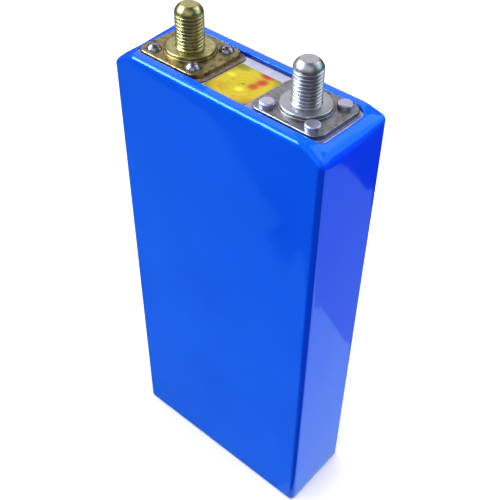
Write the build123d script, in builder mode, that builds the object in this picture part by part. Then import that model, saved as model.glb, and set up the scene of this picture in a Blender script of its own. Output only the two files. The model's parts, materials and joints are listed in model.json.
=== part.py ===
from build123d import *
import os
from math import radians, tan

# Prismatic lithium cell with two M8 stud terminals, wrapped in heat-shrink film.
#
# Millimetres, +Z up. X runs along the cell's width, Y through its thickness. The origin is the
# centre of the film's underside, so the cell stands on Z = 0. The brass negative terminal is
# at -X and the aluminium positive terminal is at +X.

# ---------------------------------------------------------------- driving dimensions
CELL_WIDTH = 72.0
CELL_THICKNESS = 27.0
RIM_HEIGHT = 151.0  # top of the film's rim above the surface the cell stands on
FIT = 0.05  # gap between parts that nest inside each other

# Film, shoulders and the window in the top
FILM = 0.2
SHOULDER_START = 29.0  # half-length of the level part of the rim
SHOULDER_DROP = 2.5  # how far the rim falls from there to each end
SHOULDER_BEND = 8.0
SHOULDER_RADIUS = 2.2
BASE_RADIUS = 1.5
EDGE_RADIUS = 1.2
WINDOW_LENGTH = 64.0
WINDOW_WIDTH = 20.0
WINDOW_RADIUS = 3.0
BASE_WINDOW = (60.0, 15.0, 3.0)  # length, width, corner radius

# Base sheet, can and lid
SHEET_THICKNESS = 0.3
CAN_WALL = 0.8
CAN_FLOOR = 1.0
LID_THICKNESS = 2.0

# Stack above the lid, from the lid upwards
COVER_THICKNESS = 5.2
GASKET_THICKNESS = 0.4
PLATE_THICKNESS = 1.3
BOSS_HEIGHT = 0.5

# Terminals
TERMINAL_X = 20.0
PLATE_SIZE = (22.2, 19.2)
PLATE_RADIUS = 3.2
PLATE_EDGE = 0.35
BOSS_RADIUS = 7.3
GASKET_REACH = 1.5  # how far the gasket runs past the plate, towards the middle of the cell
GASKET_MARGIN = 0.3
GASKET_RADIUS = 2.8
RIVET_SPACING = (14.4, 13.0)  # along X and Y
RIVET_SHANK = 1.0
RIVET_DEPTH = 4.0
RIVET_HEAD_RADIUS = 2.15
RIVET_HEAD_HEIGHT = 1.5
PAN_SIDE = 0.8  # height of a pan head's upright side
PAN_TOP_RADIUS = 1.6
PAN_HEIGHT = 1.3

# Studs: M8 x 1, crests at 7.9 mm
THREAD_RADIUS = 3.95
THREAD_PITCH = 1.0
THREAD_CREST = 0.2 * THREAD_PITCH
THREAD_ROOT = 0.175 * THREAD_PITCH
GROOVE_OVERSHOOT = 1.0  # how far the cut of a groove starts outside the crest
FLANGE_RADIUS = 6.9
FLANGE_RIM = 0.8
NECK_RADIUS = 3.4
NECK_HEIGHT = 0.3  # plain neck between the flange and the thread
STUD_ABOVE_RIM = 13.4
STUD_TIP_RADIUS = 2.3
STUD_DOME = 2.2
STUD_DOME_RADIUS = 3.5
STUD_PLAIN_TIP = 1.9  # length at the tip with no thread
SHANK_RADIUS = 3.4
SHANK_HOLE = 3.5
HEAD_RADIUS = 4.8
HEAD_HEIGHT = 0.8
WASHER_RADIUS = 7.0
WASHER_THICKNESS = 0.8

# Seals and insulators under the lid
SEAL_RADIUS = 4.9
SEAL_FLANGE_RADIUS = 6.5
SEAL_FLANGE = 0.7
INSULATOR_SIZE = (25.0, 21.0)
INSULATOR_THICKNESS = 2.0

# Vent and filling port in the lid
VENT_RADIUS = 4.2
VENT_STEP_RADIUS = 5.0
VENT_STEP = 0.6
VENT_DISC = 0.3
SCORE_RADIUS = 3.2
SCORE_WIDTH = 0.2
VENT_GUARD = 0.15
FILL_X = 9.5
FILL_RADIUS = 1.2
FILL_HEAD_RADIUS = 2.2
FILL_HEAD = 0.6

# Label over the vent
LABEL_SIZE = (14.4, 15.2, 0.8)  # length, width, corner radius
LABEL_CENTRE = (0.05, -1.2)
LABEL_THICKNESS = 0.12

# Electrode rolls, each wound about an axis along X
ROLL_Y = 6.05
ROLL_OUTER = 11.9
SEPARATOR = 0.3
WINDING_GAP = 0.02
SEPARATOR_OVERHANG = 1.0
COATED_HALF = 26.5
ROLL_TOP = 136.3
GATHER_INSET = 1.0  # how far inside the separator the gathered foil starts
FOIL_GATHER = 3.0  # length over which the bare foil is pressed together
FOIL_END = 34.0
FOIL_THICKNESS = 2.4
FOIL_BOTTOM = 20.0
FOIL_TOP = 122.0
CLIP_THICKNESS = 0.6
CLIP_MARGIN = 8.0

# Collectors, bag and tray
COLLECTOR_THICKNESS = 1.0
COLLECTOR_INNER_X = 10.0
COLLECTOR_OUTER_X = 33.8
COLLECTOR_WIDTH = 17.0
LEG_WIDTH = 4.0
LEG_BOTTOM = 25.0
BAG = 0.25
BAG_GAP = 0.15
TRAY_THICKNESS = 1.0
TRAY_SLOT = (52.0, 3.0)

SIDES = {"negative": -1, "positive": 1}  # the sign of X on each terminal's side
ROLLS = {"front": -1, "rear": 1}  # the sign of Y of each roll

# ---------------------------------------------------------------- heights worked out from these
CAN_BOTTOM = FILM + SHEET_THICKNESS
CAN_INSIDE = CAN_BOTTOM + CAN_FLOOR
PLATE_TOP = RIM_HEIGHT + 0.3
PLATE_BOTTOM = PLATE_TOP - PLATE_THICKNESS
COVER_TOP = PLATE_BOTTOM - GASKET_THICKNESS
CAN_TOP = COVER_TOP - COVER_THICKNESS
LID_BOTTOM = CAN_TOP - LID_THICKNESS
INSULATOR_BOTTOM = LID_BOTTOM - INSULATOR_THICKNESS
COLLECTOR_BOTTOM = INSULATOR_BOTTOM - COLLECTOR_THICKNESS
WASHER_BOTTOM = COLLECTOR_BOTTOM - WASHER_THICKNESS
HEAD_BOTTOM = WASHER_BOTTOM - HEAD_HEIGHT
SEAL_BOTTOM = LID_BOTTOM - FIT - SEAL_FLANGE
LIP_BOTTOM = COVER_TOP + FIT
BOSS_TOP = PLATE_TOP + BOSS_HEIGHT
FLANGE_TOP = BOSS_TOP + FLANGE_RIM
THREAD_BOTTOM = FLANGE_TOP + NECK_HEIGHT
STUD_TOP = RIM_HEIGHT + STUD_ABOVE_RIM
DOME_BOTTOM = STUD_TOP - STUD_DOME
CAN_INNER = (
    CELL_WIDTH - 2 * (FILM + FIT + CAN_WALL),
    CELL_THICKNESS - 2 * (FILM + FIT + CAN_WALL),
)
CAN_INNER_RADIUS = 0.6
TRAY_TOP = CAN_INSIDE + TRAY_THICKNESS
BAG_BOTTOM = TRAY_TOP + FIT
ROLL_BOTTOM = BAG_BOTTOM + BAG + BAG_GAP
ROLL_MIDDLE = (ROLL_TOP + ROLL_BOTTOM) / 2
ROLL_HEIGHT = ROLL_TOP - ROLL_BOTTOM
FOIL_MIDDLE = (FOIL_TOP + FOIL_BOTTOM) / 2
FOIL_FLAT_X = COATED_HALF + FOIL_GATHER

os.makedirs("parts", exist_ok=True)


def finish(name, part):
    """Labels a finished piece and writes it under its node name."""
    part.label = name
    export_step(part, f"parts/{name}.step")


def rivet_spots(sign):
    """Centres of the four rivets round one stud."""
    half_x, half_y = RIVET_SPACING[0] / 2, RIVET_SPACING[1] / 2
    return [(sign * TERMINAL_X + x, y) for x in (-half_x, half_x) for y in (-half_y, half_y)]


def window_outline(growth, mode=Mode.ADD):
    """Draws the top window, grown by growth on every side, in the sketch that is open."""
    length = WINDOW_LENGTH + 2 * growth
    width = WINDOW_WIDTH + 2 * growth
    RectangleRounded(length, width, WINDOW_RADIUS + growth, mode=mode)


def can_outline(clearance):
    """Draws the can's inner outline, moved in by clearance, in the sketch that is open."""
    length = CAN_INNER[0] - 2 * clearance
    width = CAN_INNER[1] - 2 * clearance
    RectangleRounded(length, width, CAN_INNER_RADIUS - clearance)


def roll_outline(row, inset, mode=Mode.ADD):
    """Draws a roll's flattened racetrack section, moved in by inset, in a sketch on Plane.YZ."""
    with Locations((row * ROLL_Y, ROLL_MIDDLE)):
        SlotOverall(ROLL_HEIGHT - 2 * inset, ROLL_OUTER - 2 * inset, rotation=90, mode=mode)


def envelope(inset):
    """The wrapped cell's outer form with sloping shoulders, moved in by inset on every side."""
    half_width = CELL_WIDTH / 2 - inset
    top = RIM_HEIGHT - inset
    bottom = inset
    with BuildPart() as body:
        with BuildSketch(Plane.XZ) as profile:
            with BuildLine():
                Polyline(
                    (-half_width, bottom),
                    (half_width, bottom),
                    (half_width, top - SHOULDER_DROP),
                    (SHOULDER_START, top),
                    (-SHOULDER_START, top),
                    (-half_width, top - SHOULDER_DROP),
                    close=True,
                )
            make_face()
            fillet(profile.vertices().group_by(Axis.Y)[0], BASE_RADIUS - inset)
            fillet(profile.vertices().group_by(Axis.Y)[-2], SHOULDER_RADIUS - inset)
            fillet(profile.vertices().group_by(Axis.Y)[-1], SHOULDER_BEND - inset)
        extrude(amount=CELL_THICKNESS / 2 - inset, both=True)
        faces = body.faces().sort_by(Axis.Y)
        fillet(faces[0].edges() + faces[-1].edges(), EDGE_RADIUS - inset)
    return body.part


# ---------------------------------------------------------------- wrapping
# The film goes round the whole cell, turns in over the frame, and ends as a lip down its inner wall
with BuildPart() as film_lip:
    add(envelope(0))
    with BuildSketch(Plane.XY.offset(LIP_BOTTOM)):
        window_outline(FILM)
        window_outline(0, mode=Mode.SUBTRACT)
    extrude(amount=RIM_HEIGHT - LIP_BOTTOM, mode=Mode.INTERSECT)

with BuildPart() as shrink_sleeve:
    add(envelope(0))
    add(envelope(FILM), mode=Mode.SUBTRACT)
    with BuildSketch(Plane.XY.offset(CAN_TOP)):
        window_outline(0)
    extrude(amount=RIM_HEIGHT - CAN_TOP, mode=Mode.SUBTRACT)
    with BuildSketch():
        RectangleRounded(*BASE_WINDOW)
    extrude(amount=FILM, mode=Mode.SUBTRACT)
    add(film_lip.part)
finish("shrink_sleeve", shrink_sleeve.part)

# Insulating sheet under the can, held by the film where it turns in round its base window
with BuildPart() as base_sheet:
    with BuildSketch(Plane.XY.offset(FILM)):
        Rectangle(
            CELL_WIDTH - 2 * (BASE_RADIUS + FIT),
            CELL_THICKNESS - 2 * (EDGE_RADIUS + FIT),
        )
    extrude(amount=SHEET_THICKNESS)
finish("base_sheet", base_sheet.part)

# Frame between the lid's edge and the film, which gives the rim its shape
with BuildPart() as top_frame:
    add(envelope(FILM + FIT))
    with BuildSketch(Plane.XY.offset(CAN_TOP)):
        Rectangle(CELL_WIDTH, CELL_THICKNESS)
        window_outline(FILM + FIT, mode=Mode.SUBTRACT)
    extrude(amount=RIM_HEIGHT - CAN_TOP, mode=Mode.INTERSECT)
finish("top_frame", top_frame.part)

# ---------------------------------------------------------------- can and lid
with BuildPart() as can:
    add(envelope(FILM + FIT))
    with BuildSketch(Plane.XY.offset(CAN_BOTTOM)):
        Rectangle(CELL_WIDTH, CELL_THICKNESS)
    extrude(amount=CAN_TOP - CAN_BOTTOM, mode=Mode.INTERSECT)
    with BuildSketch(Plane.XY.offset(CAN_INSIDE)):
        can_outline(0)
    extrude(amount=CAN_TOP - CAN_INSIDE, mode=Mode.SUBTRACT)
finish("can", can.part)

with BuildPart() as lid:
    with BuildSketch(Plane.XY.offset(LID_BOTTOM)):
        can_outline(FIT)
        with Locations(*((sign * TERMINAL_X, 0) for sign in SIDES.values())):
            Circle(SEAL_RADIUS + FIT, mode=Mode.SUBTRACT)
    extrude(amount=LID_THICKNESS)
    with Locations((0, 0, CAN_TOP)):
        CounterBoreHole(VENT_RADIUS, VENT_STEP_RADIUS, VENT_STEP)
    with Locations((FILL_X, 0, CAN_TOP)):
        CounterBoreHole(FILL_RADIUS, FILL_HEAD_RADIUS + FIT, FILL_HEAD)
finish("lid", lid.part)

with BuildPart() as vent_disc:
    with BuildSketch(Plane.XY.offset(CAN_TOP - VENT_STEP)):
        Circle(VENT_STEP_RADIUS - FIT)
    extrude(amount=VENT_DISC)
    # scored ring that lets the disc tear open
    with BuildSketch(Plane.XY.offset(CAN_TOP - VENT_STEP + VENT_DISC)):
        Circle(SCORE_RADIUS)
        Circle(SCORE_RADIUS - SCORE_WIDTH, mode=Mode.SUBTRACT)
    extrude(amount=-VENT_DISC / 2, mode=Mode.SUBTRACT)
finish("vent_disc", vent_disc.part)

with BuildPart() as vent_guard_film:
    with BuildSketch(Plane.XY.offset(CAN_TOP - VENT_GUARD)):
        Circle(VENT_STEP_RADIUS - FIT)
    extrude(amount=VENT_GUARD)
finish("vent_guard_film", vent_guard_film.part)

with BuildPart() as fill_plug:
    with BuildSketch(Plane.XY.offset(LID_BOTTOM)):
        with Locations((FILL_X, 0)):
            Circle(FILL_RADIUS - FIT)
    extrude(amount=LID_THICKNESS)
    with BuildSketch(Plane.XY.offset(CAN_TOP - FILL_HEAD)):
        with Locations((FILL_X, 0)):
            Circle(FILL_HEAD_RADIUS)
    extrude(amount=FILL_HEAD)
finish("fill_plug", fill_plug.part)

# ---------------------------------------------------------------- top cover and label
with BuildPart() as top_cover:
    with BuildSketch(Plane.XY.offset(CAN_TOP)):
        window_outline(FILM)
        Circle(VENT_STEP_RADIUS, mode=Mode.SUBTRACT)
        with Locations(*((sign * TERMINAL_X, 0) for sign in SIDES.values())):
            Circle(SHANK_HOLE, mode=Mode.SUBTRACT)
    extrude(amount=COVER_THICKNESS)
    # blind holes that the rivets bite into
    with BuildSketch(Plane.XY.offset(COVER_TOP)):
        with Locations(*(spot for sign in SIDES.values() for spot in rivet_spots(sign))):
            Circle(RIVET_SHANK + FIT)
    extrude(amount=-(RIVET_DEPTH + FIT - PLATE_THICKNESS - GASKET_THICKNESS), mode=Mode.SUBTRACT)
finish("top_cover", top_cover.part)

with BuildPart() as centre_label:
    with BuildSketch(Plane.XY.offset(COVER_TOP)):
        with Locations(LABEL_CENTRE):
            RectangleRounded(*LABEL_SIZE)
    extrude(amount=LABEL_THICKNESS)
finish("centre_label", centre_label.part)


# ---------------------------------------------------------------- terminals
def terminal_plate(sign):
    """Rounded square plate with a raised boss under the stud's flange and four rivet holes."""
    with BuildPart() as plate:
        with BuildSketch(Plane.XY.offset(PLATE_BOTTOM)):
            with Locations((sign * TERMINAL_X, 0)):
                RectangleRounded(*PLATE_SIZE, PLATE_RADIUS)
        extrude(amount=PLATE_THICKNESS)
        fillet(plate.faces().sort_by(Axis.Z)[-1].edges(), PLATE_EDGE)
        with BuildSketch(Plane.XY.offset(PLATE_TOP)):
            with Locations((sign * TERMINAL_X, 0)):
                Circle(BOSS_RADIUS)
        extrude(amount=BOSS_HEIGHT)
        fillet(plate.edges().filter_by(GeomType.CIRCLE).group_by(Axis.Z)[-1], BOSS_HEIGHT / 2)
        with BuildSketch(Plane.XY.offset(PLATE_BOTTOM)):
            with Locations((sign * TERMINAL_X, 0)):
                Circle(SHANK_HOLE)
            with Locations(*rivet_spots(sign)):
                Circle(RIVET_SHANK + FIT)
        extrude(amount=PLATE_THICKNESS + BOSS_HEIGHT, mode=Mode.SUBTRACT)
    return plate.part


def gasket(sign):
    """Thin insulating sheet under a terminal plate, reaching past it towards the cell's middle."""
    length = PLATE_SIZE[0] + GASKET_MARGIN + GASKET_REACH
    middle = TERMINAL_X + (GASKET_MARGIN - GASKET_REACH) / 2
    with BuildPart() as sheet:
        with BuildSketch(Plane.XY.offset(COVER_TOP)):
            with Locations((sign * middle, 0)):
                RectangleRounded(length, PLATE_SIZE[1] + 2 * GASKET_MARGIN, GASKET_RADIUS)
            with Locations((sign * TERMINAL_X, 0)):
                Circle(SHANK_HOLE, mode=Mode.SUBTRACT)
            with Locations(*rivet_spots(sign)):
                Circle(RIVET_SHANK + FIT, mode=Mode.SUBTRACT)
        extrude(amount=GASKET_THICKNESS)
    return sheet.part


def dome_head():
    """Draws the outline of a domed rivet head, from its rim to its top, in the line that is open."""
    dome = (RIVET_HEAD_RADIUS**2 + RIVET_HEAD_HEIGHT**2) / (2 * RIVET_HEAD_HEIGHT)
    head_top = PLATE_TOP + RIVET_HEAD_HEIGHT
    RadiusArc((RIVET_HEAD_RADIUS, PLATE_TOP), (0, head_top), -dome)
    Line((0, head_top), (0, PLATE_TOP))


def pan_head():
    """Draws the outline of a flat-topped rivet head, from its rim to its top."""
    shoulder = (RIVET_HEAD_RADIUS, PLATE_TOP + PAN_SIDE)
    top_edge = (PAN_TOP_RADIUS, PLATE_TOP + PAN_HEIGHT)
    Line((RIVET_HEAD_RADIUS, PLATE_TOP), shoulder)
    RadiusArc(shoulder, top_edge, PAN_SIDE - PAN_HEIGHT - FIT)
    Polyline(top_edge, (0, PLATE_TOP + PAN_HEIGHT), (0, PLATE_TOP))


def rivets(sign, draw_head):
    """Four rivets that hold a plate down on the top cover."""
    with BuildPart() as group:
        for x, y in rivet_spots(sign):
            with BuildSketch(Plane((x, y, 0), x_dir=(1, 0, 0), z_dir=(0, -1, 0))):
                with BuildLine():
                    Polyline(
                        (0, PLATE_TOP),
                        (0, PLATE_TOP - RIVET_DEPTH),
                        (RIVET_SHANK, PLATE_TOP - RIVET_DEPTH),
                        (RIVET_SHANK, PLATE_TOP),
                        (RIVET_HEAD_RADIUS, PLATE_TOP),
                    )
                    draw_head()
                make_face()
            revolve(axis=Axis((x, y, 0), (0, 0, 1)))
    return group.part


def stud(sign):
    """M8 stud in one piece: headed shank, flange, short neck and thread with a domed end.

    The thread is cut as rings at the true pitch and form.
    """
    flank = (THREAD_PITCH - THREAD_CREST - THREAD_ROOT) / 2
    root_radius = THREAD_RADIUS - flank / tan(radians(30))
    turns = round((STUD_TOP - STUD_PLAIN_TIP - THREAD_BOTTOM) / THREAD_PITCH)
    axis_plane = Plane((sign * TERMINAL_X, 0, 0), x_dir=(1, 0, 0), z_dir=(0, -1, 0))
    axis = Axis((sign * TERMINAL_X, 0, 0), (0, 0, 1))
    with BuildPart() as bolt:
        with BuildSketch(axis_plane):
            with BuildLine():
                Polyline(
                    (0, STUD_TOP),
                    (0, HEAD_BOTTOM),
                    (HEAD_RADIUS, HEAD_BOTTOM),
                    (HEAD_RADIUS, WASHER_BOTTOM),
                    (SHANK_RADIUS, WASHER_BOTTOM),
                    (SHANK_RADIUS, BOSS_TOP),
                    (FLANGE_RADIUS, BOSS_TOP),
                    (FLANGE_RADIUS, FLANGE_TOP),
                    (NECK_RADIUS, FLANGE_TOP),
                    (NECK_RADIUS, THREAD_BOTTOM),
                    (THREAD_RADIUS, THREAD_BOTTOM),
                    (THREAD_RADIUS, DOME_BOTTOM),
                )
                RadiusArc(
                    (THREAD_RADIUS, DOME_BOTTOM), (STUD_TIP_RADIUS, STUD_TOP), -STUD_DOME_RADIUS
                )
                Line((STUD_TIP_RADIUS, STUD_TOP), (0, STUD_TOP))
            make_face()
        revolve(axis=axis)
        # one groove a turn, with 60 degree flanks
        with BuildSketch(axis_plane):
            for turn in range(turns):
                low = THREAD_BOTTOM + THREAD_CREST + turn * THREAD_PITCH
                high = low + THREAD_PITCH - THREAD_CREST
                with BuildLine():
                    Polyline(
                        (THREAD_RADIUS, low),
                        (root_radius, low + flank),
                        (root_radius, high - flank),
                        (THREAD_RADIUS, high),
                        (THREAD_RADIUS + GROOVE_OVERSHOOT, high),
                        (THREAD_RADIUS + GROOVE_OVERSHOOT, low),
                        close=True,
                    )
                make_face()
        revolve(axis=axis, mode=Mode.SUBTRACT)
    return bolt.part


def seal(sign):
    """Flanged bush that seals the shank into the lid and keeps the two apart."""
    with BuildPart() as bush:
        with BuildSketch(Plane.XY.offset(SEAL_BOTTOM)):
            with Locations((sign * TERMINAL_X, 0)):
                Circle(SEAL_RADIUS)
        extrude(amount=CAN_TOP - SEAL_BOTTOM)
        with BuildSketch(Plane.XY.offset(SEAL_BOTTOM)):
            with Locations((sign * TERMINAL_X, 0)):
                Circle(SEAL_FLANGE_RADIUS)
        extrude(amount=SEAL_FLANGE)
        with BuildSketch(Plane.XY.offset(SEAL_BOTTOM)):
            with Locations((sign * TERMINAL_X, 0)):
                Circle(SHANK_RADIUS + FIT)
        extrude(amount=CAN_TOP - SEAL_BOTTOM, mode=Mode.SUBTRACT)
    return bush.part


def inner_insulator(sign):
    """Moulded plate between the lid and the collector, with a pocket for the seal's flange."""
    middle = CAN_INNER[0] / 2 - INSULATOR_SIZE[0] / 2 - 2 * FIT
    with BuildPart() as plate:
        with BuildSketch(Plane.XY.offset(INSULATOR_BOTTOM)):
            with Locations((sign * middle, 0)):
                Rectangle(*INSULATOR_SIZE)
        extrude(amount=INSULATOR_THICKNESS - FIT)
        with BuildSketch(Plane.XY.offset(SEAL_BOTTOM - FIT)):
            with Locations((sign * TERMINAL_X, 0)):
                Circle(SEAL_FLANGE_RADIUS + FIT)
        extrude(amount=INSULATOR_THICKNESS, mode=Mode.SUBTRACT)
        with BuildSketch(Plane.XY.offset(INSULATOR_BOTTOM)):
            with Locations((sign * TERMINAL_X, 0)):
                Circle(SHANK_HOLE)
        extrude(amount=INSULATOR_THICKNESS, mode=Mode.SUBTRACT)
    return plate.part


def collector(sign):
    """Tab under the lid with two legs that run down between the rolls' bare foil edges."""
    tab_length = COLLECTOR_OUTER_X - COLLECTOR_INNER_X
    leg_y = ROLL_Y - FOIL_THICKNESS / 2 - FIT - COLLECTOR_THICKNESS / 2
    with BuildPart() as strip:
        with BuildSketch(Plane.XY.offset(COLLECTOR_BOTTOM)):
            with Locations((sign * (COLLECTOR_INNER_X + tab_length / 2), 0)):
                Rectangle(tab_length, COLLECTOR_WIDTH)
            with Locations((sign * TERMINAL_X, 0)):
                Circle(SHANK_RADIUS + FIT, mode=Mode.SUBTRACT)
        extrude(amount=COLLECTOR_THICKNESS)
        with BuildSketch(Plane.XY.offset(LEG_BOTTOM)):
            leg_x = sign * (COLLECTOR_OUTER_X - LEG_WIDTH / 2)
            with Locations((leg_x, -leg_y), (leg_x, leg_y)):
                Rectangle(LEG_WIDTH, COLLECTOR_THICKNESS)
        extrude(amount=COLLECTOR_BOTTOM - LEG_BOTTOM)
    return strip.part


def washer(sign):
    """Washer that the shank's end is headed over, under the collector."""
    with BuildPart() as disc:
        with BuildSketch(Plane.XY.offset(WASHER_BOTTOM)):
            with Locations((sign * TERMINAL_X, 0)):
                Circle(WASHER_RADIUS)
                Circle(SHANK_RADIUS + FIT, mode=Mode.SUBTRACT)
        extrude(amount=WASHER_THICKNESS)
    return disc.part


def foil_clips(sign):
    """Two strips on the outer sides of the pressed foil, welded through it to the legs."""
    clip_y = ROLL_Y + FOIL_THICKNESS / 2 + FIT + CLIP_THICKNESS / 2
    clip_x = sign * (COLLECTOR_OUTER_X - LEG_WIDTH / 2)
    with BuildPart() as pair:
        with BuildSketch(Plane.XY.offset(FOIL_BOTTOM + CLIP_MARGIN)):
            with Locations((clip_x, -clip_y), (clip_x, clip_y)):
                Rectangle(LEG_WIDTH, CLIP_THICKNESS)
        extrude(amount=FOIL_TOP - FOIL_BOTTOM - 2 * CLIP_MARGIN)
    return pair.part


RIVET_HEADS = {"negative": dome_head, "positive": pan_head}

for side, sign in SIDES.items():
    finish(f"{side}_terminal_plate", terminal_plate(sign))
    finish(f"{side}_gasket", gasket(sign))
    finish(f"{side}_rivets", rivets(sign, RIVET_HEADS[side]))
    finish(f"{side}_stud", stud(sign))
    finish(f"{side}_seal", seal(sign))
    finish(f"{side}_inner_insulator", inner_insulator(sign))
    finish(f"{side}_collector", collector(sign))
    finish(f"{side}_swage_washer", washer(sign))
    finish(f"{side}_foil_clips", foil_clips(sign))


# ---------------------------------------------------------------- electrode rolls
def windings(row):
    """The coated, wound body of one roll."""
    with BuildPart() as body:
        with BuildSketch(Plane.YZ):
            roll_outline(row, SEPARATOR + WINDING_GAP)
        extrude(amount=COATED_HALF, both=True)
    return body.part


def separator_wrap(row):
    """The last turns of separator round a roll, a little longer than the coating."""
    with BuildPart() as wrap:
        with BuildSketch(Plane.YZ):
            roll_outline(row, 0)
            roll_outline(row, SEPARATOR, mode=Mode.SUBTRACT)
        extrude(amount=COATED_HALF + SEPARATOR_OVERHANG, both=True)
    return wrap.part


def foil_edge(row, sign):
    """Bare foil at one end of a roll, gathered from the roll's thickness into a flat bundle."""
    height = FOIL_TOP - FOIL_BOTTOM
    gathered = ROLL_OUTER - 2 * (SEPARATOR + GATHER_INSET)
    with BuildPart() as foil:
        with BuildSketch(Plane.YZ.offset(sign * COATED_HALF)):
            with Locations((row * ROLL_Y, FOIL_MIDDLE)):
                Rectangle(gathered, height)
        with BuildSketch(Plane.YZ.offset(sign * FOIL_FLAT_X)):
            with Locations((row * ROLL_Y, FOIL_MIDDLE)):
                Rectangle(FOIL_THICKNESS, height)
        loft()
        with BuildSketch(Plane.YZ.offset(sign * FOIL_FLAT_X)):
            with Locations((row * ROLL_Y, FOIL_MIDDLE)):
                Rectangle(FOIL_THICKNESS, height)
        extrude(amount=sign * (FOIL_END - FOIL_FLAT_X))
    return foil.part


for place, row in ROLLS.items():
    finish(f"{place}_roll_windings", windings(row))
    finish(f"{place}_roll_separator", separator_wrap(row))
    finish(f"{place}_roll_copper_foil", foil_edge(row, SIDES["negative"]))
    finish(f"{place}_roll_aluminium_foil", foil_edge(row, SIDES["positive"]))

# ---------------------------------------------------------------- bag and tray round the rolls
with BuildPart() as insulating_bag:
    with BuildSketch(Plane.XY.offset(BAG_BOTTOM)):
        can_outline(BAG_GAP)
    extrude(amount=ROLL_TOP - BAG_BOTTOM)
    with BuildSketch(Plane.XY.offset(BAG_BOTTOM + BAG)):
        can_outline(BAG_GAP + BAG)
    extrude(amount=ROLL_TOP - BAG_BOTTOM - BAG, mode=Mode.SUBTRACT)
finish("insulating_bag", insulating_bag.part)

with BuildPart() as bottom_tray:
    with BuildSketch(Plane.XY.offset(CAN_INSIDE)):
        can_outline(BAG_GAP)
        with Locations((0, -ROLL_Y), (0, ROLL_Y)):
            Rectangle(*TRAY_SLOT, mode=Mode.SUBTRACT)
    extrude(amount=TRAY_THICKNESS)
finish("bottom_tray", bottom_tray.part)
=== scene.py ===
import json
import math

import bpy
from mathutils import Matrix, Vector, noise

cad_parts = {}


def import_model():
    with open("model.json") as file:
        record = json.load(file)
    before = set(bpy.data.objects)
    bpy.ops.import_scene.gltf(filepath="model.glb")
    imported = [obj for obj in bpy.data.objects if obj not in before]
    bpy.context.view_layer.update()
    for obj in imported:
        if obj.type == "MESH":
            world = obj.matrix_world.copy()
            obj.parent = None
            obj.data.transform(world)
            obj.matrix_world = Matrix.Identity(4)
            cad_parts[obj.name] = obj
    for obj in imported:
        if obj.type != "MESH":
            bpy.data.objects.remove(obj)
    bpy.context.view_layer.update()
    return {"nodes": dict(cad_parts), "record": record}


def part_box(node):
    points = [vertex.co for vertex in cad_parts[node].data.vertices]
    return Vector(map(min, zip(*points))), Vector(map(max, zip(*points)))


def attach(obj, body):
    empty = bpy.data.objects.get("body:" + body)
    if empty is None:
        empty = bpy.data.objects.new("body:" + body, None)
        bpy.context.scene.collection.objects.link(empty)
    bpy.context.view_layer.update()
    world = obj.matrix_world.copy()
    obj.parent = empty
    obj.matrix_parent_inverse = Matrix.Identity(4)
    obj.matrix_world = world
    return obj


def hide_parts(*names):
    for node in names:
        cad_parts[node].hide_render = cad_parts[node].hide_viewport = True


# Looks for the prismatic battery cell. Sizes are in millimetres up to the point where a mesh is
# made. The cell stands on Z = 0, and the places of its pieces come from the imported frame.
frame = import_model()

MM = 0.001


def box_mm(node):
    """Lowest and highest corner of a CAD node in millimetres."""
    low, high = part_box(node)
    return low / MM, high / MM


def smooth(t):
    """Eases from 0 to 1 as t goes from 0 to 1."""
    t = min(1.0, max(0.0, t))
    return t * t * (3 - 2 * t)


def mix(a, b, t):
    """The value at a share t of the way from a to b."""
    return a + (b - a) * t


# ---------------------------------------------------------------- sizes
SLEEVE_LOW, SLEEVE_HIGH = box_mm("shrink_sleeve")
COVER_TOP = box_mm("top_cover")[1].z
CAN_TOP = box_mm("can")[1].z
HALF_X = SLEEVE_HIGH.x
HALF_Y = SLEEVE_HIGH.y
RIM_Z = SLEEVE_HIGH.z
FILM = 0.2  # thickness of the film

UPRIGHT_RADIUS = 1.7  # the film's four upright edges
LONG_EDGE_RADIUS = 1.5  # the rim's outer edge along the broad faces
END_EDGE_RADIUS = 1.3  # the same edge across the narrow ends
BASE_EDGE_RADIUS = 1.2
FRAME_INSET = 0.55  # how far the frame stays under the film's outer face
WINDOW_HALF = (32.0, 10.0)
WINDOW_RADIUS = 3.0
WINDOW_EDGE_RADIUS = 0.4
SHORTEST_RIM = 0.6  # least width that the rim's shelf is taken to have, beside its inner fold
BASE_WINDOW_HALF = (30.0, 7.5)
BASE_WINDOW_RADIUS = 3.0
LIP_GAP = 0.06  # between the film's inner cut edge and the cover
SHOULDER_START = 29.0  # half-length of the level part of the rim
# how far the rim falls at each end: at the front, at the rear, and added between them
SHOULDER_DROPS = {"left": (3.6, 1.0, 0.2), "right": (3.5, 1.4, 1.5)}
SHOULDER_CURVES = (1.9, 1.2)  # exponent of the fall in the middle, and along the broad faces


# ---------------------------------------------------------------- mesh tools
def new_piece(name, points, faces, material):
    """Makes a smooth-shaded mesh object from points in millimetres and lets it ride on the cell."""
    mesh = bpy.data.meshes.new(name)
    mesh.from_pydata([Vector(p) * MM for p in points], [], faces)
    mesh.validate()
    mesh.shade_smooth()
    mesh.materials.append(material)
    piece = bpy.data.objects.new(name, mesh)
    bpy.context.scene.collection.objects.link(piece)
    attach(piece, "root")
    return piece


def ring_faces(rows, columns, closed_rows=False):
    """Quads between rows of points, where each row is a closed ring of columns points."""
    faces = []
    for i in range(rows if closed_rows else rows - 1):
        low = i * columns
        high = (i + 1) % rows * columns
        for j in range(columns):
            k = (j + 1) % columns
            faces.append((low + j, low + k, high + k, high + j))
    return faces


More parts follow.
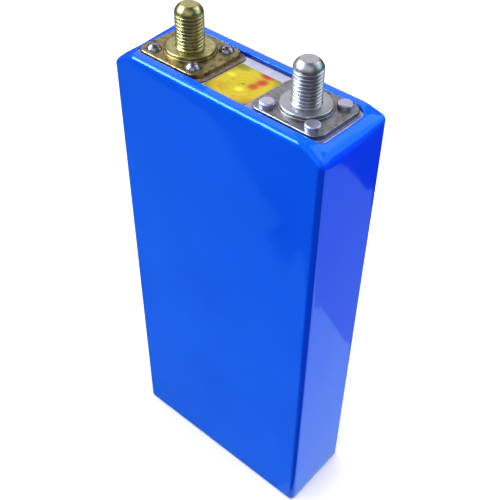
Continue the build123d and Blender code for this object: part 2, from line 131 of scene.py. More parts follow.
def rounded_outline(half_x, half_y, radius, counts):
    """Points (x, y) round a rounded rectangle, counter-clockwise from the front-left corner.

    counts holds the number of steps on a long side, on a corner and on a short side, so two
    outlines with the same counts match point for point.
    """
    long_steps, corner_steps, short_steps = counts
    sides = [(0, long_steps), (1, short_steps), (2, long_steps), (3, short_steps)]
    inner = (half_x - radius, half_y - radius)
    corners = [(-1, -1), (1, -1), (1, 1), (-1, 1)]
    points = []
    for side, steps in sides:
        angle = math.radians(-90 + 90 * side)
        out = (radius * math.cos(angle), radius * math.sin(angle))
        a, b = corners[side], corners[(side + 1) % 4]
        start = (a[0] * inner[0] + out[0], a[1] * inner[1] + out[1])
        end = (b[0] * inner[0] + out[0], b[1] * inner[1] + out[1])
        for i in range(steps):
            points.append((mix(start[0], end[0], i / steps), mix(start[1], end[1], i / steps)))
        for i in range(corner_steps):
            turn = angle + math.radians(90) * i / corner_steps
            x = b[0] * inner[0] + radius * math.cos(turn)
            y = b[1] * inner[1] + radius * math.sin(turn)
            points.append((x, y))
    return points


# ---------------------------------------------------------------- the film and its frame
OUTLINE_COUNTS = (72, 8, 27)


def shoulder_drop(x, y):
    """How far the rim lies below its level middle part, at a place on the top."""
    front, rear, sag = SHOULDER_DROPS["left" if x < 0 else "right"]
    deepest = mix(front, rear, smooth((y / HALF_Y + 1) / 2)) + sag * max(0.0, 1 - (y / HALF_Y) ** 2)
    t = max(0.0, (abs(x) - SHOULDER_START) / (HALF_X - SHOULDER_START))
    return deepest * t ** mix(*SHOULDER_CURVES, smooth((abs(y) - 9.0) / 4.0))


def edge_radius(x, y):
    """Radius of the rim's outer edge, a little smaller across the ends than along the faces."""
    along_end = smooth((abs(x) - (HALF_X - 2.2)) / 2.0) * smooth((HALF_Y - abs(y)) / 3.0)
    return mix(LONG_EDGE_RADIUS, END_EDGE_RADIUS, along_end)


def inward(x, y):
    """Unit vector from a point of the film's outline towards the cell's inside."""
    core_x = min(max(x, UPRIGHT_RADIUS - HALF_X), HALF_X - UPRIGHT_RADIUS)
    core_y = min(max(y, UPRIGHT_RADIUS - HALF_Y), HALF_Y - UPRIGHT_RADIUS)
    return Vector((core_x - x, core_y - y)).normalized()


def ripple(x, y, z, scale, size):
    """Small smooth unevenness of the shrunk film: scale is its length and size its height."""
    return size * noise.noise(Vector((x, y, z)) / scale)


def rim_rows(bottom, wall_steps, inset=0.0):
    """Rows of points from the foot of the outer wall, over the rim and down the window's wall."""
    rim_z = RIM_Z - inset
    window_size = (WINDOW_HALF[0] + inset, WINDOW_HALF[1] + inset, WINDOW_RADIUS + inset)
    outer = rounded_outline(HALF_X - inset, HALF_Y - inset, UPRIGHT_RADIUS - inset, OUTLINE_COUNTS)
    window = rounded_outline(*window_size, OUTLINE_COUNTS)
    rows = []
    for i in range(wall_steps + 1):
        row = []
        for x, y in outer:
            top = rim_z - shoulder_drop(x, y) - edge_radius(x, y) + inset
            row.append((x, y, mix(bottom, top, i / wall_steps)))
        rows.append(row)
    edge_steps = 8
    for i in range(1, edge_steps + 1):
        angle = math.radians(90) * i / edge_steps
        row = []
        for x, y in outer:
            radius = edge_radius(x, y) - inset
            step = inward(x, y) * radius * (1 - math.cos(angle))
            px, py = x + step.x, y + step.y
            z = rim_z - shoulder_drop(px, py) - radius * (1 - math.sin(angle))
            row.append((px, py, z))
        rows.append(row)
    rim_steps = 5
    shelf = rows[-1]
    for i in range(1, rim_steps + 1):
        row = []
        for (x, y, _), (wx, wy) in zip(shelf, window):
            reach = Vector((wx - x, wy - y))
            share = i / rim_steps * (1 - WINDOW_EDGE_RADIUS / max(reach.length, SHORTEST_RIM))
            px, py = x + reach.x * share, y + reach.y * share
            row.append((px, py, rim_z - shoulder_drop(px, py)))
        rows.append(row)
    fold_steps = 4
    lip = rows[-1]
    for i in range(1, fold_steps + 1):
        angle = math.radians(90) * i / fold_steps
        row = []
        for (x, y, z), (wx, wy) in zip(lip, window):
            px = mix(x, wx, math.sin(angle))
            py = mix(y, wy, math.sin(angle))
            row.append((px, py, z - WINDOW_EDGE_RADIUS * (1 - math.cos(angle))))
        rows.append(row)
    return rows


def film_sleeve(material):
    """The blue film: under the base edge, up the walls, over the rim and down its inner wall."""
    base_z = SLEEVE_LOW.z
    rows = []
    window = rounded_outline(*BASE_WINDOW_HALF, BASE_WINDOW_RADIUS, OUTLINE_COUNTS)
    outer = rounded_outline(HALF_X, HALF_Y, UPRIGHT_RADIUS, OUTLINE_COUNTS)
    lip_steps = 6
    for i in range(lip_steps + 1):
        row = []
        for (wx, wy), (x, y) in zip(window, outer):
            reach = Vector((x - wx, y - wy))
            # the cut edge wanders, and the corners gather into small pleats
            wander = 1.1 * noise.noise(Vector((wx, wy, 0)) / 5) * (1 - i / lip_steps)
            share = i / lip_steps * (1 - BASE_EDGE_RADIUS / reach.length)
            px = wx + reach.x * share + wander * reach.x / reach.length
            py = wy + reach.y * share + wander * reach.y / reach.length
            corner = smooth((abs(wx) - 24) / 6) * smooth((abs(wy) - 2) / 5)
            pleat = 0.5 + 0.5 * math.sin(9 * math.atan2(wy, abs(wx) - 24))
            lift = 0.16 * corner * pleat * math.sin(math.pi * i / lip_steps)
            row.append((px, py, base_z + lift))
        rows.append(row)
    foot = rows[-1]
    edge_steps = 6
    for i in range(1, edge_steps):
        angle = math.radians(90) * i / edge_steps
        row = []
        for (x, y, _), (ox, oy) in zip(foot, outer):
            px = mix(x, ox, math.sin(angle))
            py = mix(y, oy, math.sin(angle))
            row.append((px, py, base_z + BASE_EDGE_RADIUS * (1 - math.cos(angle))))
        rows.append(row)
    rows += rim_rows(base_z + BASE_EDGE_RADIUS, 40)
    inner_steps = 4
    lip = rows[-1]
    for i in range(1, inner_steps + 1):
        row = []
        for x, y, z in lip:
            row.append((x, y, mix(z, COVER_TOP + LIP_GAP, i / inner_steps)))
        rows.append(row)
    rows = [[uneven(p) for p in row] for row in rows]
    columns = len(outer)
    points = [p for row in rows for p in row]
    piece = new_piece("film_sleeve", points, ring_faces(len(rows), columns), material)
    shell = piece.modifiers.new("film", "SOLIDIFY")
    shell.thickness = FILM * MM
    shell.offset = -1
    return piece


def uneven(point):
    """Pulls a point of the film inward a little, as shrunk film is never quite flat."""
    x, y, z = point
    from_edge = min(HALF_X - abs(x) + HALF_Y - abs(y), 3.0) / 3.0
    on_wall = smooth((z - 1.5) / 6) * smooth((RIM_Z - 5 - z) / 6)
    dent = on_wall * (0.10 + ripple(x, y, z, 26, 0.10) + ripple(x, y, z, 9, 0.02))
    middle = smooth((HALF_X - abs(x)) / 8) if abs(y) > HALF_Y - 0.3 else 0.0
    end_middle = smooth((HALF_Y - abs(y)) / 5) if abs(x) > HALF_X - 0.3 else 0.0
    y -= math.copysign(dent * middle, y)
    x -= math.copysign(0.5 * dent * end_middle, x)
    on_rim = smooth((z - (RIM_Z - 4.5)) / 1.5) * from_edge
    z -= on_rim * (0.03 + ripple(x, y, z, 6, 0.05))
    return (x, y, z)


def rim_frame(material):
    """The frame under the film, which gives the rim its sloping ends."""
    rows = rim_rows(CAN_TOP, 4, FRAME_INSET)
    rows.append([(x, y, CAN_TOP) for x, y, _ in rows[-1]])
    points = [p for row in rows for p in row]
    return new_piece("rim_frame", points, ring_faces(len(rows), len(rows[0]), True), material)


# ---------------------------------------------------------------- studs
THREAD_RADIUS = 3.95
THREAD_PITCH = 1.0
THREAD_DEPTH = 0.54
CREST_SHARE = 0.2
ROOT_SHARE = 0.175
DOME_HEIGHT = 2.2
DOME_RADIUS = 3.5
TIP_RADIUS = 2.3
FLANGE_RADIUS = 6.9
FLANGE_RIM = 0.8
SHANK_RADIUS = 3.4
HEAD_RADIUS = 4.8
HEAD_HEIGHT = 0.8
POLE_RADIUS = 0.02  # small hole on the axis, closed by a flat face
STUD_COLUMNS = 96
ROWS_PER_TURN = 16


def dome_radius(below_top):
    """Radius of the stud's rounded end, at a depth below its top."""
    if below_top >= DOME_HEIGHT:
        return THREAD_RADIUS
    chord = Vector((TIP_RADIUS - THREAD_RADIUS, DOME_HEIGHT))
    middle = Vector(((TIP_RADIUS + THREAD_RADIUS) / 2, -DOME_HEIGHT / 2))
    reach = math.sqrt(DOME_RADIUS**2 - (chord.length / 2) ** 2)
    across = Vector((-chord.y, chord.x)).normalized()
    centre = middle + across * reach
    return centre.x + math.sqrt(DOME_RADIUS**2 - (-below_top - centre.y) ** 2)


def groove_depth(phase):
    """Depth of a 60 degree thread groove at a phase from 0 to 1 along the pitch."""
    from_root = abs(phase - 0.5)
    flank = (1 - CREST_SHARE - ROOT_SHARE) / 2
    return THREAD_DEPTH * (1 - min(1.0, max(0.0, (from_root - ROOT_SHARE / 2) / flank)))


def thread_radius(z, angle, start, top):
    """Radius of the helical thread's surface at a height and an angle."""
    phase = ((z - start) / THREAD_PITCH - angle / (2 * math.pi)) % 1.0
    cut = groove_depth(phase) * smooth((z - start) / 0.5) * smooth((top - 1.3 - z) / 0.7)
    wear = 0.012 * noise.noise(Vector((math.cos(angle) * 4, math.sin(angle) * 4, z)) * 1.7)
    return min(THREAD_RADIUS - cut - abs(wear), dome_radius(top - z))


def stud(name, node, plate, material):
    """One-piece stud: headed shank, flange and right-hand thread with a domed end."""
    low, high = box_mm(node)
    centre = (low + high) / 2
    boss_top = box_mm(plate)[1].z
    flange_top = boss_top + FLANGE_RIM
    start = flange_top + 0.12
    profile = [
        (POLE_RADIUS, low.z),
        (HEAD_RADIUS - 0.2, low.z),
        (HEAD_RADIUS, low.z + 0.2),
        (HEAD_RADIUS, low.z + HEAD_HEIGHT - 0.01),
        (SHANK_RADIUS, low.z + HEAD_HEIGHT),
        (SHANK_RADIUS, boss_top - 0.01),
        (FLANGE_RADIUS - 0.15, boss_top),
        (FLANGE_RADIUS, boss_top + 0.15),
        (FLANGE_RADIUS, flange_top - 0.3),
        (FLANGE_RADIUS - 0.08, flange_top - 0.1),
        (FLANGE_RADIUS - 0.3, flange_top),
        (THREAD_RADIUS + 0.6, flange_top - 0.02),
        (THREAD_RADIUS + 0.2, flange_top),
        (THREAD_RADIUS + 0.05, flange_top + 0.04),
        (THREAD_RADIUS, start),
    ]
    rows = [[radius] * STUD_COLUMNS + [z] for radius, z in profile]
    angles = [2 * math.pi * j / STUD_COLUMNS for j in range(STUD_COLUMNS)]
    thread_rows = round((high.z - start) / THREAD_PITCH * ROWS_PER_TURN)
    for i in range(1, thread_rows + 1):
        z = mix(start, high.z, i / thread_rows)
        rows.append([thread_radius(z, a, start, high.z) for a in angles] + [z])
    for radius in (TIP_RADIUS - 0.15, TIP_RADIUS - 0.5, POLE_RADIUS):
        rows.append([radius] * STUD_COLUMNS + [high.z])
    points = []
    for row in rows:
        for radius, a in zip(row[:-1], angles):
            points.append((centre.x + radius * math.cos(a), centre.y + radius * math.sin(a), row[-1]))
    faces = ring_faces(len(rows), STUD_COLUMNS)
    last = (len(rows) - 1) * STUD_COLUMNS
    faces.append(list(range(STUD_COLUMNS))[::-1])
    faces.append(list(range(last, last + STUD_COLUMNS)))
    piece = new_piece(name, points, faces, material)
    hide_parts(node)
    return piece


# ---------------------------------------------------------------- label
STICKER_THICKNESS = 0.06
STICKER_CORNER = 0.9


def label(material):
    """Thin printed sticker between the terminals, lifting a little at two corners."""
    low, high = box_mm("centre_label")
    centre = (low + high) / 2
    half = (high - low) / 2
    rings = 22
    counts = (16, 5, 16)
    points = []
    for i in range(rings + 1):
        share = 0.02 + 0.98 * i / rings
        corner = STICKER_CORNER * share
        for x, y in rounded_outline(half.x * share, half.y * share, corner, counts):
            away = (x / half.x) ** 2 * (y / half.y) ** 2
            lift = 0.22 * away**3 * (1 if x * y < 0 else 0.4)
            swell = 0.05 * noise.noise(Vector((x, y, 3)) / 3.5)
            z = low.z + STICKER_THICKNESS + lift + abs(swell) * min(1, 4 * (1 - share))
            points.append((centre.x + x, centre.y + y, z))
    columns = len(points) // (rings + 1)
    faces = ring_faces(rings + 1, columns)
    faces.append(list(range(columns)))
    piece = new_piece("label_sticker", points, faces, material)
    body = piece.modifiers.new("thickness", "SOLIDIFY")
    body.thickness = STICKER_THICKNESS * MM
    body.offset = 1
    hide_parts("centre_label")
    return piece


# ---------------------------------------------------------------- materials
class Painter:
    """A material's node tree, with short calls to add nodes and link them."""

    def __init__(self, name):
        self.material = bpy.data.materials.new(name)
        self.material.use_nodes = True
        self.tree = self.material.node_tree
        self.shader = self.tree.nodes["Principled BSDF"]
        self.place = self.add("ShaderNodeTexCoord").outputs["Object"]

    def add(self, kind, **settings):
        made = self.tree.nodes.new(kind)
        for key, value in settings.items():
            setattr(made, key, value)
        return made

    def link(self, source, target):
        self.tree.links.new(source, target)

    def stretched(self, scale):
        """Object coordinates in millimetres, stretched by a scale for each axis."""
        mapping = self.add("ShaderNodeMapping")
        mapping.inputs["Scale"].default_value = [s / MM for s in scale]
        self.link(self.place, mapping.inputs["Vector"])
        return mapping.outputs["Vector"]

    def noise(self, scale, detail=3.0, roughness=0.55, stretch=(1, 1, 1)):
        """Noise from 0 to 1, with scale in waves to a millimetre."""
        made = self.add("ShaderNodeTexNoise")
        made.inputs["Scale"].default_value = scale
        made.inputs["Detail"].default_value = detail
        made.inputs["Roughness"].default_value = roughness
        self.link(self.stretched(stretch), made.inputs["Vector"])
        return made.outputs["Fac"]

    def math(self, operation, a, b=0.0, clamp=False):
        made = self.add("ShaderNodeMath", operation=operation, use_clamp=clamp)
        for socket, value in zip(made.inputs, (a, b)):
            if isinstance(value, (int, float)):
                socket.default_value = value
            else:
                self.link(value, socket)
        return made.outputs[0]

    def ramp(self, source, stops):
        """Colours or greys along a value: stops are (position, colour) pairs."""
        made = self.add("ShaderNodeValToRGB")
        while len(made.color_ramp.elements) < len(stops):
            made.color_ramp.elements.new(0.5)
        for element, (position, colour) in zip(made.color_ramp.elements, stops):
            element.position = position
            element.color = colour if len(colour) == 4 else (*colour, 1)
        self.link(source, made.inputs["Fac"])
        return made.outputs["Color"]

    def spread(self, source, low, high, to_low, to_high):
        """Maps a value's range onto another one, and stops at its ends."""
        made = self.add("ShaderNodeMapRange")
        for key, value in zip(("From Min", "From Max", "To Min", "To Max"), (low, high, to_low, to_high)):
            made.inputs[key].default_value = value
        self.link(source, made.inputs["Value"])
        return made.outputs["Result"]

    def blend(self, share, a, b, blend_type="MIX"):
        made = self.add("ShaderNodeMix", data_type="RGBA", blend_type=blend_type)
        sockets = (made.inputs[0], made.inputs[6], made.inputs[7])
        for socket, value in zip(sockets, (share, a, b)):
            if isinstance(value, bpy.types.NodeSocket):
                self.link(value, socket)
            elif isinstance(value, (int, float)):
                socket.default_value = value
            else:
                socket.default_value = (*value, 1)
        return made.outputs[2]

    def bump(self, height, strength, distance):
        """Bump with its distance in millimetres."""
        made = self.add("ShaderNodeBump")
        made.inputs["Strength"].default_value = strength
        made.inputs["Distance"].default_value = distance * MM
        self.link(height, made.inputs["Height"])
        self.link(made.outputs["Normal"], self.shader.inputs["Normal"])

    def set(self, **values):
        for key, value in values.items():
            socket = self.shader.inputs[key.replace("_", " ")]
            if isinstance(value, bpy.types.NodeSocket):
                self.link(value, socket)
            elif isinstance(value, tuple):
                socket.default_value = (*value, 1)
            else:
                socket.default_value = value
        return self.material


def film_material():
    """Glossy blue shrink film, with painted light on the narrow ends and painted shade on the upright edges
    and inner lip.
    """
    paint = Painter("blue_film")
    split = paint.add("ShaderNodeSeparateXYZ")
    paint.link(paint.stretched((1, 1, 1)), split.inputs["Vector"])
    from_middle = paint.math("ABSOLUTE", split.outputs["Y"])
    # painted light: the narrow ends get a deeper blue that stands in for how the light falls on them
    end_light_share = paint.spread(from_middle, 12.4, 13.3, 1.0, 0.0)
    below_rim = paint.spread(split.outputs["Z"], RIM_Z - 5.0, RIM_Z - 2.0, 1.0, 0.0)
    drift = paint.noise(0.035, 2, 0.5)
    face = paint.ramp(drift, [(0.3, (0.0018, 0.072, 0.74)), (0.7, (0.0026, 0.086, 0.80))])
    end_light_share = paint.math("MULTIPLY", end_light_share, below_rim)
    colour = paint.blend(end_light_share, face, (0.0018, 0.042, 0.92))
    from_end = paint.math("ABSOLUTE", split.outputs["X"])
    # painted shade: a darker blue along the four upright edges, below the rim
    near_end = paint.spread(from_end, HALF_X - UPRIGHT_RADIUS, HALF_X - UPRIGHT_RADIUS * 0.6, 0.0, 1.0)
    near_face = paint.spread(from_middle, HALF_Y - UPRIGHT_RADIUS, HALF_Y - UPRIGHT_RADIUS * 0.6, 0.0, 1.0)
    upright = paint.math("MULTIPLY", paint.math("MULTIPLY", near_end, near_face), below_rim)
    colour = paint.blend(upright, colour, (0.0012, 0.034, 0.50))
    # painted shade: a dark navy on the window's inner lip, where the recess lies in shade
    in_window = paint.spread(from_middle, 10.1, 10.25, 1.0, 0.0)
    low_lip = paint.spread(split.outputs["Z"], RIM_Z - 0.35, RIM_Z - 0.6, 0.0, 1.0)
    lip = paint.math("MULTIPLY", in_window, low_lip)
    beside = paint.math("ABSOLUTE", split.outputs["X"])
    lip = paint.math("MULTIPLY", lip, paint.spread(beside, 28.0, 31.0, 1.0, 0.0))
    colour = paint.blend(lip, colour, (0.001, 0.010, 0.36))
    streaks = paint.noise(0.9, 4, 0.6, (1, 1, 0.08))
    grain = paint.noise(6.0, 2, 0.5)
    height = paint.math("ADD", paint.math("MULTIPLY", streaks, 0.5), paint.math("MULTIPLY", grain, 0.12))
    paint.bump(height, 0.2, 0.015)
    rough = paint.spread(streaks, 0.3, 0.7, 0.05, 0.08)
    paint.shader.inputs["IOR"].default_value = 1.5
    paint.shader.inputs["Specular Tint"].default_value = (0.25, 0.85, 1.0, 1)
    return paint.set(Base_Color=colour, Roughness=rough)


def metal_material(name, tones, rough, scale=0.6, pits=0.15, brushed=(1, 1, 1)):
    """Worked metal: tones is a ramp over mottling, with fine scratches in bump and roughness."""
    paint = Painter(name)
    mottle = paint.noise(scale, 5, 0.62)
    scratches = paint.noise(5.0, 3, 0.6, brushed)
    colour = paint.ramp(mottle, tones)
    height = paint.math("ADD", paint.math("MULTIPLY", mottle, 0.4), scratches)
    paint.bump(height, pits, 0.03)
    roughness = paint.spread(scratches, 0.3, 0.7, rough[0], rough[1])
    return paint.set(Base_Color=colour, Metallic=1.0, Roughness=roughness)


def plastic_material(name, tones, rough=(0.35, 0.5), scale=0.4, bump=0.1):
    """Moulded or rolled plastic with a faint mottle and a fine surface."""
    paint = Painter(name)
    mottle = paint.noise(scale, 4, 0.55)
    grain = paint.noise(7.0, 2, 0.5)
    paint.bump(grain, bump, 0.02)
    return paint.set(
        Base_Color=paint.ramp(mottle, tones),
        Roughness=paint.spread(mottle, 0.3, 0.7, rough[0], rough[1]),
    )


def gasket_material():
    """Smooth gasket sheet in painted shade: dark tan with a painted brass reflection under the brass plate,
    and grey under the other one.
    """
    paint = Painter("gasket_plastic")
    split = paint.add("ShaderNodeSeparateXYZ")
    paint.link(paint.stretched((1, 1, 1)), split.inputs["Vector"])
    mottle = paint.noise(0.8, 4, 0.6)
    # painted shade on both sides, with a painted reflection of the brass plate on its side
    brass_side_shade = paint.ramp(mottle, [(0.3, (0.035, 0.024, 0.016)), (0.7, (0.15, 0.11, 0.08))])
    far_side_shade = paint.ramp(mottle, [(0.3, (0.12, 0.10, 0.13)), (0.7, (0.22, 0.20, 0.27))])
    share = paint.spread(split.outputs["X"], -1.0, 1.0, 0.0, 1.0)
    paint.bump(mottle, 0.1, 0.02)
    return paint.set(Base_Color=paint.blend(share, brass_side_shade, far_side_shade), Roughness=0.35)


LABEL_YELLOW = (0.36, 0.30, 0.003)
LABEL_OLIVE = (0.15, 0.14, 0.004)
LABEL_ORANGE = (0.36, 0.17, 0.006)
LABEL_LEMON = (0.55, 0.52, 0.03)
LABEL_RED = (0.30, 0.022, 0.006)
# soft patches of print: middle (x, y), half sizes, how soft, how strong, colour
LABEL_PATCHES = (
    (-3.9, -5.6, 3.2, 2.2, 1.1, 0.75, LABEL_ORANGE),
    (6.0, -6.6, 3.2, 2.0, 1.1, 0.7, LABEL_ORANGE),
    (3.0, 2.6, 2.6, 5.6, 1.1, 0.85, LABEL_ORANGE),
    (1.0, -3.8, 1.7, 1.5, 1.1, 0.9, LABEL_LEMON),
    (-5.3, 0.3, 1.6, 1.2, 1.1, 0.8, LABEL_LEMON),
    (-5.2, 5.0, 2.6, 1.6, 1.0, 0.8, LABEL_OLIVE),
    (2.9, -0.5, 2.0, 1.9, 0.9, 0.85, LABEL_RED),
    (3.4, 2.7, 1.9, 2.0, 0.9, 0.95, LABEL_RED),
    (2.4, 5.9, 3.0, 1.5, 0.9, 1.0, LABEL_RED),
)


def label_material():
    """Printed yellow film with olive edges, two faint rings of painted sheen over the vent, soft orange
    patches and red blobs.
    """
    paint = Painter("label_print")
    split = paint.add("ShaderNodeSeparateXYZ")
    paint.link(paint.stretched((1, 1, 1)), split.inputs["Vector"])
    x, y = split.outputs["X"], split.outputs["Y"]
    soft = paint.noise(0.35, 2, 0.5)

    def squares(middle_x, middle_y, half_x=1.0, half_y=1.0):
        """Squared distance from a middle, with each axis in its own unit."""
        dx = paint.math("DIVIDE", paint.math("SUBTRACT", x, middle_x), half_x)
        dy = paint.math("DIVIDE", paint.math("SUBTRACT", y, middle_y), half_y)
        return paint.math("ADD", paint.math("MULTIPLY", dx, dx), paint.math("MULTIPLY", dy, dy))

    low, high = box_mm("centre_label")
    from_middle = squares((low.x + high.x) / 2, (low.y + high.y) / 2, high.x - low.x, high.y - low.y)
    # olive towards the label's edges, along a ragged line
    toward_edge = paint.math("ADD", from_middle, paint.math("MULTIPLY", soft, 0.25))
    colour = paint.ramp(
        soft, [(0.25, LABEL_ORANGE), (0.45, LABEL_YELLOW), (0.6, LABEL_YELLOW), (0.85, LABEL_OLIVE)]
    )
    colour = paint.blend(paint.spread(toward_edge, 0.36, 0.52, 0.0, 0.9), colour, LABEL_OLIVE)
    # painted sheen: two faint rings where the label lies over the vent's rim and catches the light
    for radius in (4.6, 6.3):
        off = paint.math("ABSOLUTE", paint.math("SUBTRACT", paint.math("SQRT", squares(0.0, -2.0)), radius))
        colour = paint.blend(paint.spread(off, 0.45, 0.0, 0.0, 0.45), colour, (0.50, 0.30, 0.05))
    for middle_x, middle_y, half_x, half_y, softness, strength, tone in LABEL_PATCHES:
        patch = squares(middle_x, middle_y, half_x, half_y)
        ragged = paint.math("ADD", patch, paint.math("MULTIPLY", soft, 0.6))
        colour = paint.blend(paint.spread(ragged, 1.3, 1.3 - softness, 0.0, strength), colour, tone)
    paint.bump(soft, 0.3, 0.05)
    paint.shader.inputs["Specular IOR Level"].default_value = 0.25
    return paint.set(Base_Color=colour, Roughness=0.35)


def grey(value, tint=(1, 1, 1)):
    """A grey of one value, or a near-grey with a slight tint."""
    return tuple(value * t for t in tint)


def finishes():
    """One material for each material slot of the record, by the slot's name."""
    lavender = (0.93, 0.91, 1.12)
    copper_tones = [(0.3, (0.62, 0.24, 0.13)), (0.7, (0.86, 0.42, 0.27))]
    sheet_tones = [(0.3, grey(0.55)), (0.7, grey(0.72))]
    brushed = (1, 1, 0.05)
    return {
        "blue_film": film_material(),
        "label_film": label_material(),
        "stud_brass": metal_material(
            "stud_brass",
            [(0.3, (0.38, 0.33, 0.13)), (0.5, (0.50, 0.44, 0.20)), (0.75, (0.62, 0.57, 0.30))],
            (0.26, 0.35), 0.7, 0.04,
        ),
        "plate_brass": metal_material(
            "plate_brass",
            [(0.32, (0.06, 0.045, 0.02)), (0.44, (0.26, 0.19, 0.085)), (0.58, (0.42, 0.33, 0.16)),
             (0.7, (0.30, 0.29, 0.11))],
            (0.3, 0.5), 0.75, 0.3,
        ),
        "rivet_steel": metal_material(
            "rivet_steel", [(0.3, grey(0.34, lavender)), (0.7, grey(0.44, lavender))], (0.24, 0.34), 0.8, 0.05
        ),
        "stud_aluminium": metal_material(
            "stud_aluminium", [(0.3, grey(0.50)), (0.7, grey(0.60, lavender))], (0.32, 0.41), 0.7, 0.04
        ),
        "plate_aluminium": metal_material(
            "plate_aluminium",
            [(0.32, grey(0.13)), (0.46, (0.29, 0.275, 0.28)), (0.7, grey(0.40, lavender))],
            (0.3, 0.48), 0.75, 0.25,
        ),
        "rivet_aluminium": metal_material(
            "rivet_aluminium", [(0.3, (0.60, 0.58, 0.76)), (0.7, (0.74, 0.72, 0.92))], (0.35, 0.5), 0.8
        ),
        "cover_plastic": plastic_material(
            "cover_plastic", [(0.3, (0.27, 0.27, 0.37)), (0.7, (0.33, 0.33, 0.41))]
        ),
        "gasket_plastic": gasket_material(),
        "base_sheet": plastic_material(
            "base_sheet", [(0.3, grey(0.52)), (0.7, grey(0.62))], (0.5, 0.7), 0.8, 0.3
        ),
        "frame_plastic": plastic_material("frame_plastic", [(0.3, grey(0.02)), (0.7, grey(0.035))]),
        "insulator_plastic": plastic_material("insulator_plastic", [(0.3, grey(0.015)), (0.7, grey(0.03))]),
        "seal_plastic": plastic_material(
            "seal_plastic", [(0.3, (0.62, 0.60, 0.52)), (0.7, (0.72, 0.70, 0.62))]
        ),
        "separator_film": plastic_material(
            "separator_film", [(0.3, grey(0.72)), (0.7, grey(0.82))], (0.5, 0.65)
        ),
        "bag_film": plastic_material(
            "bag_film", [(0.3, (0.45, 0.56, 0.62)), (0.7, (0.55, 0.66, 0.72))], (0.2, 0.3)
        ),
        "guard_film": plastic_material(
            "guard_film", [(0.3, (0.60, 0.65, 0.70)), (0.7, (0.70, 0.75, 0.80))], (0.1, 0.2)
        ),
        "can_aluminium": metal_material("can_aluminium", sheet_tones, (0.25, 0.4), 0.2, 0.1, brushed),
        "vent_foil": metal_material("vent_foil", sheet_tones, (0.2, 0.3), 0.5, 0.1, (1, 0.05, 1)),
        "plug_metal": metal_material("plug_metal", sheet_tones, (0.2, 0.3), 0.9),
        "collector_aluminium": metal_material(
            "collector_aluminium", sheet_tones, (0.3, 0.4), 0.3, 0.15, brushed
        ),
        "copper": metal_material("copper", copper_tones, (0.3, 0.4), 0.3, 0.15, brushed),
        "coated_foil": metal_material(
            "coated_foil", [(0.3, grey(0.02)), (0.7, grey(0.04))], (0.5, 0.65), 0.3, 0.1, (0.05, 1, 1)
        ),
    }


# ---------------------------------------------------------------- stage, light and camera
FLOOR_HALF = 2000
FLOOR_Z = -0.05  # just under the cell, so that the two faces don't coincide
LAMP_AIM = Vector((0, 0, 90))  # the softbox points at the cell's upper half
SKY_CENTRE = Vector((0, 0, 150))  # the cell's top, which the distant panels stand round
SKY_DISTANCE = 900
CAMERA_PLACE = Vector((120.24, -135.27, 256.51))
CAMERA_ANGLES = (47.748, -3.885, 38.33)
CAMERA_LENS = 56.76
CAMERA_SENSOR = 36.0
CAMERA_SHIFT = (-0.1277, -0.0043)


def floor():
    """Plain pale floor just under the cell."""
    paint = Painter("pale_floor")
    mottle = paint.noise(0.01, 2, 0.5)
    material = paint.set(Base_Color=paint.ramp(mottle, [(0.3, grey(0.90)), (0.7, grey(0.92))]), Roughness=0.9)
    paint.shader.inputs["Specular IOR Level"].default_value = 0.0
    half = FLOOR_HALF
    mesh = bpy.data.meshes.new("floor")
    corners = [(-half, -half), (half, -half), (half, half), (-half, half)]
    mesh.from_pydata([Vector((x, y, FLOOR_Z)) * MM for x, y in corners], [], [(0, 1, 2, 3)])
    mesh.materials.append(material)
    made = bpy.data.objects.new("floor", mesh)
    bpy.context.scene.collection.objects.link(made)
    made.visible_glossy = False


def glow_panel(name, corners, strength, colour=(1, 1, 1)):
    """A glowing panel that shows only in reflections."""
    material = bpy.data.materials.new(name)
    material.use_nodes = True
    nodes = material.node_tree.nodes
    nodes.clear()
    glow = nodes.new("ShaderNodeEmission")
    glow.inputs["Strength"].default_value = strength
    glow.inputs["Color"].default_value = (*colour, 1)
    out = nodes.new("ShaderNodeOutputMaterial")
    material.node_tree.links.new(glow.outputs[0], out.inputs["Surface"])
    mesh = bpy.data.meshes.new(name)
    mesh.from_pydata([Vector(c) * MM for c in corners], [], [(0, 1, 2, 3)])
    mesh.materials.append(material)
    made = bpy.data.objects.new(name, mesh)
    bpy.context.scene.collection.objects.link(made)
    made.visible_camera = False
    made.visible_diffuse = False
    made.visible_shadow = False
    made.visible_transmission = False


FLOOR_TURN = math.radians(24)


def floor_panel(name, u_range, v_range, strength, colour=(1, 1, 1), height=0.02):
    """A panel on the floor. u runs 24 degrees off X, along the edges that the film mirrors."""
    cos, sin = math.cos(FLOOR_TURN), math.sin(FLOOR_TURN)
    corners = []
    for u, v in ((0, 0), (1, 0), (1, 1), (0, 1)):
        pu, pv = u_range[u], v_range[v]
        corners.append((pu * cos - pv * sin, pu * sin + pv * cos, height))
    glow_panel(name, corners, strength, colour)


def sky_panel(name, corner_directions, strength, colour=(1, 1, 1)):
    """A distant panel whose corners lie in four directions from the cell's top."""
    corners = []
    for direction in corner_directions:
        corners.append(SKY_CENTRE + Vector(direction).normalized() * SKY_DISTANCE)
    glow_panel(name, corners, strength, colour)


def softbox(name, direction, distance, size, power):
    """A square area light aimed at the cell's upper half, hidden from reflections."""
    data = bpy.data.lights.new(name, "AREA")
    data.shape = "SQUARE"
    data.size = size * MM
    data.energy = power
    made = bpy.data.objects.new(name, data)
    bpy.context.scene.collection.objects.link(made)
    out = Vector(direction).normalized()
    made.location = (LAMP_AIM + out * distance) * MM
    made.rotation_euler = out.to_track_quat("Z", "Y").to_euler()
    made.visible_glossy = False


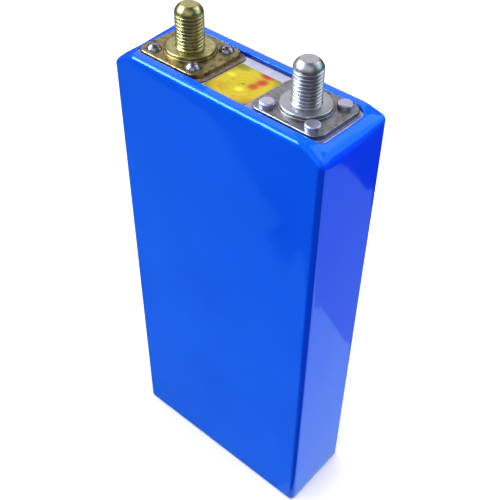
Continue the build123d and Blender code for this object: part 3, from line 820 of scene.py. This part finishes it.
def world(level, mirror_level):
    """Soft white surroundings with one level for light and view, and a darker one in reflections."""
    made = bpy.data.worlds.new("studio")
    made.use_nodes = True
    bpy.context.scene.world = made
    nodes, links = made.node_tree.nodes, made.node_tree.links
    nodes.clear()
    path = nodes.new("ShaderNodeLightPath")
    room = nodes.new("ShaderNodeBackground")
    room.inputs["Strength"].default_value = level
    room.inputs["Color"].default_value = (1, 1, 1, 1)
    mirrored = nodes.new("ShaderNodeBackground")
    mirrored.inputs["Strength"].default_value = mirror_level
    mirrored.inputs["Color"].default_value = (0.9, 0.9, 1, 1)
    both = nodes.new("ShaderNodeMixShader")
    out = nodes.new("ShaderNodeOutputWorld")
    links.new(path.outputs["Is Glossy Ray"], both.inputs["Fac"])
    links.new(room.outputs[0], both.inputs[1])
    links.new(mirrored.outputs[0], both.inputs[2])
    links.new(both.outputs[0], out.inputs["Surface"])


def lighting():
    """A large softbox overhead in a dim room, and panels for what the film and metal mirror."""
    world(0.42, 0.09)
    softbox("top_box", (-0.05, -0.08, 1.0), 950, 900, 17.0)
    cool = (0.3, 0.92, 1.0)
    green_white = (0.74, 1.15, 0.95)
    floor_panel("dark_floor", (-3000, 3000), (-3000, 3000), 0.02, height=0.01)
    floor_panel("right_floor", (20, 420), (-30, 27.5), 0.92, green_white)
    floor_panel("right_far_floor", (20, 420), (27.5, 90), 0.5, green_white)
    floor_panel("rear_floor", (100, 420), (170, 300), 1.0)
    floor_panel("left_floor", (-110, 26), (-82, 10), 0.42, cool)
    floor_panel("left_far_floor", (-420, -110), (-90, 200), 0.42, cool)
    lamp = ((-0.78, -0.54, 0.34), (-0.38, -0.79, 0.49), (-0.42, -0.27, 0.87), (-0.78, -0.16, 0.61))
    sky_panel("edge_lamp", lamp, 18.0, (0.85, 1.0, 1.0))
    left = ((-0.85, -0.15, 0.50), (-0.60, -0.22, 0.77), (-0.40, -0.02, 0.91), (-0.80, 0.30, 0.52))
    sky_panel("left_wall", left, 2.4)
    right = ((0.45, 0.35, 0.82), (0.22, 0.32, 0.92), (-0.05, 0.85, 0.52), (0.50, 0.75, 0.43))
    sky_panel("right_wall", right, 2.2)
    end = ((0.86, 0.40, 0.30), (0.66, 0.30, 0.69), (0.42, 0.70, 0.58), (0.50, 0.83, 0.22))
    sky_panel("end_wall", end, 2.0, (0.42, 0.86, 1.0))
    front = ((0.75, -0.11, 0.91), (-0.16, -0.73, 0.91), (0.09, -1.09, 0.45), (1.0, -0.47, 0.45))
    sky_panel("front_wall", front, 0.8)
    rear = ((-0.20, 0.50, 0.84), (-0.62, 0.30, 0.72), (-0.85, 0.50, 0.15), (-0.20, 0.97, 0.15))
    sky_panel("rear_wall", rear, 0.9)


def camera():
    """Looks down at the cell from its front right."""
    data = bpy.data.cameras.new("camera")
    data.sensor_width = CAMERA_SENSOR
    data.lens = CAMERA_LENS
    data.shift_x, data.shift_y = CAMERA_SHIFT
    data.clip_start = 0.01
    made = bpy.data.objects.new("camera", data)
    bpy.context.scene.collection.objects.link(made)
    made.location = CAMERA_PLACE * MM
    made.rotation_euler = [math.radians(a) for a in CAMERA_ANGLES]
    bpy.context.scene.camera = made


finish_of = finishes()
for entry in frame["record"]["subparts"]:
    data = frame["nodes"][entry["node"]].data
    data.materials.clear()
    data.materials.append(finish_of[entry["material_slot"]])

sleeve = film_sleeve(finish_of["blue_film"])
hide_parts("shrink_sleeve")
rim = rim_frame(finish_of["frame_plastic"])
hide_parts("top_frame")
label(finish_of["label_film"])
for side, slot in (("negative", "stud_brass"), ("positive", "stud_aluminium")):
    piece = stud(f"{side}_threaded_stud", f"{side}_stud", f"{side}_terminal_plate", finish_of[slot])

floor()
lighting()
camera()
scene = bpy.context.scene
scene.view_settings.view_transform = "Standard"
